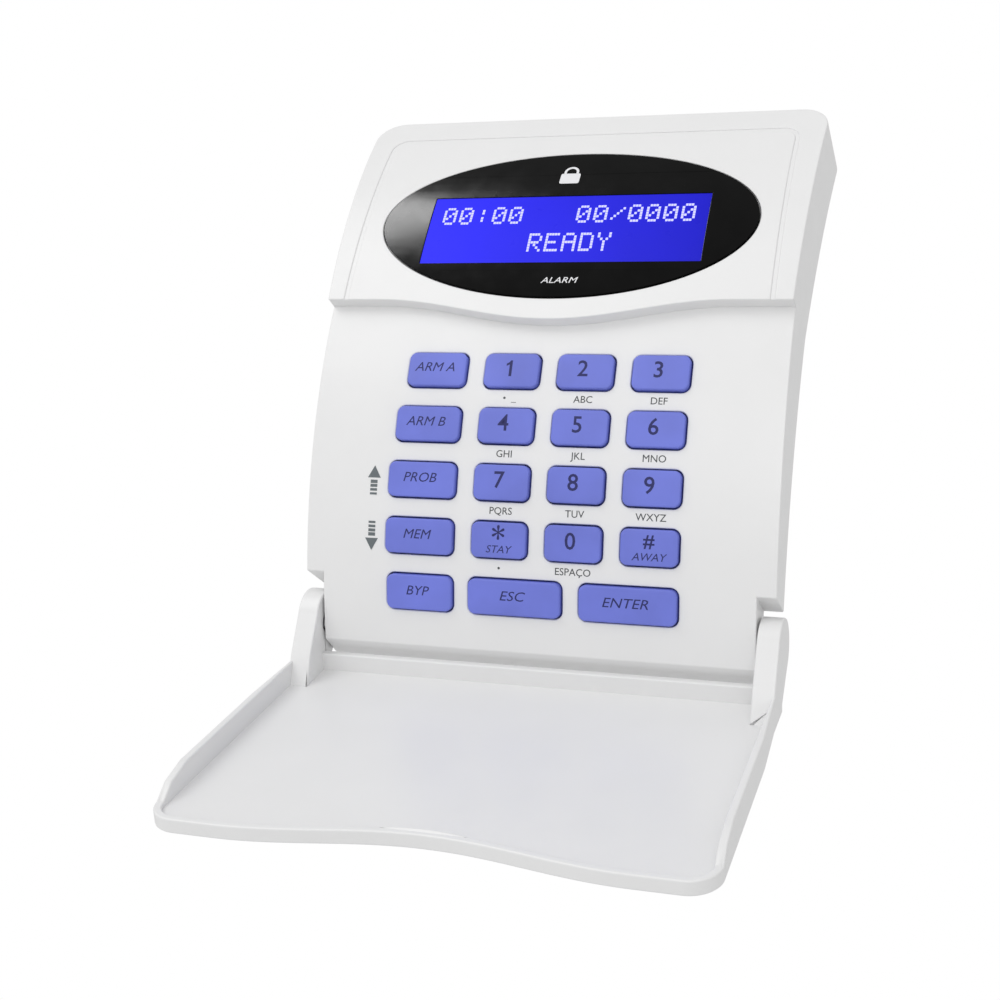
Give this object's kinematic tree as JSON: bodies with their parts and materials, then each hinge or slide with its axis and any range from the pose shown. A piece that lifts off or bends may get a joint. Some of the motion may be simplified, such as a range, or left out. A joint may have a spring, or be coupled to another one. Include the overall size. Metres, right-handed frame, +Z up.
{
  "type": "alarm keypad panel",
  "caption": "Wall-mounted alarm keypad with an arched white case, an oval display lens, blue keys and a drop-down door that covers the keys.",
  "frame": {"origin": "middle of the flat rear face that lies on the wall", "axes": "+Z up, +Y into the wall, the front facing -Y, +X to the right as seen from the front"},
  "size_m": [0.1146, 0.0664, 0.1879],
  "materials": {
    "white_shell": "satin white moulded ABS",
    "white_door": "satin white moulded ABS",
    "white_base": "matt white moulded ABS",
    "pin_steel": "bright",
    "screw_steel": "zinc plated",
    "lens_black": "polished black acrylic",
    "display_blue": "blue backlit liquid-crystal display",
    "light_guide": "frosted acrylic",
    "bezel_steel": "satin black",
    "circuit_board": "green solder mask",
    "ribbon_grey": "flat cable",
    "silicone": "translucent silicone",
    "key_blue": "satin periwinkle blue",
    "chip_black": "moulded epoxy",
    "capacitor_sleeve": "shrink sleeve",
    "terminal_green": "moulded polyamide",
    "led_lens": "clear resin",
    "plunger_white": "acetal"
  },
  "bodies": {
    "case": {"front_shell": "white_shell", "rear_base": "white_base", "display_lens": "lens_black", "lcd_glass": "display_blue", "lcd_backlight": "light_guide", "lcd_bezel": "bezel_steel", "lcd_board": "circuit_board", "display_ribbon": "ribbon_grey", "main_board": "circuit_board", "microcontroller": "chip_black", "voltage_regulator": "chip_black", "crystal": "screw_steel", "buzzer": "chip_black", "capacitor": "capacitor_sleeve", "terminal_block": "terminal_green", "tamper_switch": "chip_black", "board_screw_1": "screw_steel", "terminal_screw_1": "screw_steel", "board_screw_2": "screw_steel", "terminal_screw_2": "screw_steel", "board_screw_3": "screw_steel", "terminal_screw_3": "screw_steel", "board_screw_4": "screw_steel", "terminal_screw_4": "screw_steel", "key_mat": "silicone", "key_led_1": "led_lens", "key_led_2": "led_lens", "key_led_3": "led_lens", "key_led_4": "led_lens", "case_screw_1": "screw_steel", "case_screw_2": "screw_steel"},
    "door": {"door": "white_door", "hinge_pin_left": "pin_steel", "hinge_pin_right": "pin_steel"},
    "plunger": {"tamper_plunger": "plunger_white"},
    "button_arm_a": {"key_arm_a": "key_blue"},
    "button_1": {"key_1": "key_blue"},
    "button_2": {"key_2": "key_blue"},
    "button_3": {"key_3": "key_blue"},
    "button_arm_b": {"key_arm_b": "key_blue"},
    "button_4": {"key_4": "key_blue"},
    "button_5": {"key_5": "key_blue"},
    "button_6": {"key_6": "key_blue"},
    "button_problem": {"key_problem": "key_blue"},
    "button_7": {"key_7": "key_blue"},
    "button_8": {"key_8": "key_blue"},
    "button_9": {"key_9": "key_blue"},
    "button_memory": {"key_memory": "key_blue"},
    "button_star": {"key_star": "key_blue"},
    "button_0": {"key_0": "key_blue"},
    "button_hash": {"key_hash": "key_blue"},
    "button_bypass": {"key_bypass": "key_blue"},
    "button_escape": {"key_escape": "key_blue"},
    "button_enter": {"key_enter": "key_blue"}
  },
  "joints": [
    {"name": "door_hinge", "type": "hinge", "parent": "case", "child": "door", "pos_m": [0, -0.0119, -0.0629], "axis": [-1, 0, 0], "range_deg": [0, 116]},
    {"name": "tamper_press", "type": "slide", "parent": "case", "child": "plunger", "axis": [0, 1, 0], "range_m": [0, 0.0015], "stiffness_N_per_m": 200, "springref_m": 0.003},
    {"name": "press_arm_a", "type": "slide", "parent": "case", "child": "button_arm_a", "axis": [0, 0.9968, 0.0793], "range_m": [0, 0.001], "stiffness_N_per_m": 600, "springref_m": -0.0015},
    {"name": "press_1", "type": "slide", "parent": "case", "child": "button_1", "axis": [0, 0.9968, 0.0793], "range_m": [0, 0.001], "stiffness_N_per_m": 600, "springref_m": -0.0015},
    {"name": "press_2", "type": "slide", "parent": "case", "child": "button_2", "axis": [0, 0.9968, 0.0793], "range_m": [0, 0.001], "stiffness_N_per_m": 600, "springref_m": -0.0015},
    {"name": "press_3", "type": "slide", "parent": "case", "child": "button_3", "axis": [0, 0.9968, 0.0793], "range_m": [0, 0.001], "stiffness_N_per_m": 600, "springref_m": -0.0015},
    {"name": "press_arm_b", "type": "slide", "parent": "case", "child": "button_arm_b", "axis": [0, 0.9847, 0.1745], "range_m": [0, 0.001], "stiffness_N_per_m": 600, "springref_m": -0.0015},
    {"name": "press_4", "type": "slide", "parent": "case", "child": "button_4", "axis": [0, 0.9847, 0.1745], "range_m": [0, 0.001], "stiffness_N_per_m": 600, "springref_m": -0.0015},
    {"name": "press_5", "type": "slide", "parent": "case", "child": "button_5", "axis": [0, 0.9847, 0.1745], "range_m": [0, 0.001], "stiffness_N_per_m": 600, "springref_m": -0.0015},
    {"name": "press_6", "type": "slide", "parent": "case", "child": "button_6", "axis": [0, 0.9847, 0.1745], "range_m": [0, 0.001], "stiffness_N_per_m": 600, "springref_m": -0.0015},
    {"name": "press_problem", "type": "slide", "parent": "case", "child": "button_problem", "axis": [0, 0.9634, 0.2681], "range_m": [0, 0.001], "stiffness_N_per_m": 600, "springref_m": -0.0015},
    {"name": "press_7", "type": "slide", "parent": "case", "child": "button_7", "axis": [0, 0.9634, 0.2681], "range_m": [0, 0.001], "stiffness_N_per_m": 600, "springref_m": -0.0015},
    {"name": "press_8", "type": "slide", "parent": "case", "child": "button_8", "axis": [0, 0.9634, 0.2681], "range_m": [0, 0.001], "stiffness_N_per_m": 600, "springref_m": -0.0015},
    {"name": "press_9", "type": "slide", "parent": "case", "child": "button_9", "axis": [0, 0.9634, 0.2681], "range_m": [0, 0.001], "stiffness_N_per_m": 600, "springref_m": -0.0015},
    {"name": "press_memory", "type": "slide", "parent": "case", "child": "button_memory", "axis": [0, 0.9333, 0.3592], "range_m": [0, 0.001], "stiffness_N_per_m": 600, "springref_m": -0.0015},
    {"name": "press_star", "type": "slide", "parent": "case", "child": "button_star", "axis": [0, 0.9333, 0.3592], "range_m": [0, 0.001], "stiffness_N_per_m": 600, "springref_m": -0.0015},
    {"name": "press_0", "type": "slide", "parent": "case", "child": "button_0", "axis": [0, 0.9333, 0.3592], "range_m": [0, 0.001], "stiffness_N_per_m": 600, "springref_m": -0.0015},
    {"name": "press_hash", "type": "slide", "parent": "case", "child": "button_hash", "axis": [0, 0.9333, 0.3592], "range_m": [0, 0.001], "stiffness_N_per_m": 600, "springref_m": -0.0015},
    {"name": "press_bypass", "type": "slide", "parent": "case", "child": "button_bypass", "axis": [0, 0.8945, 0.447], "range_m": [0, 0.001], "stiffness_N_per_m": 600, "springref_m": -0.0015},
    {"name": "press_escape", "type": "slide", "parent": "case", "child": "button_escape", "axis": [0, 0.8945, 0.447], "range_m": [0, 0.001], "stiffness_N_per_m": 600, "springref_m": -0.0015},
    {"name": "press_enter", "type": "slide", "parent": "case", "child": "button_enter", "axis": [0, 0.8945, 0.447], "range_m": [0, 0.001], "stiffness_N_per_m": 600, "springref_m": -0.0015}
  ]
}
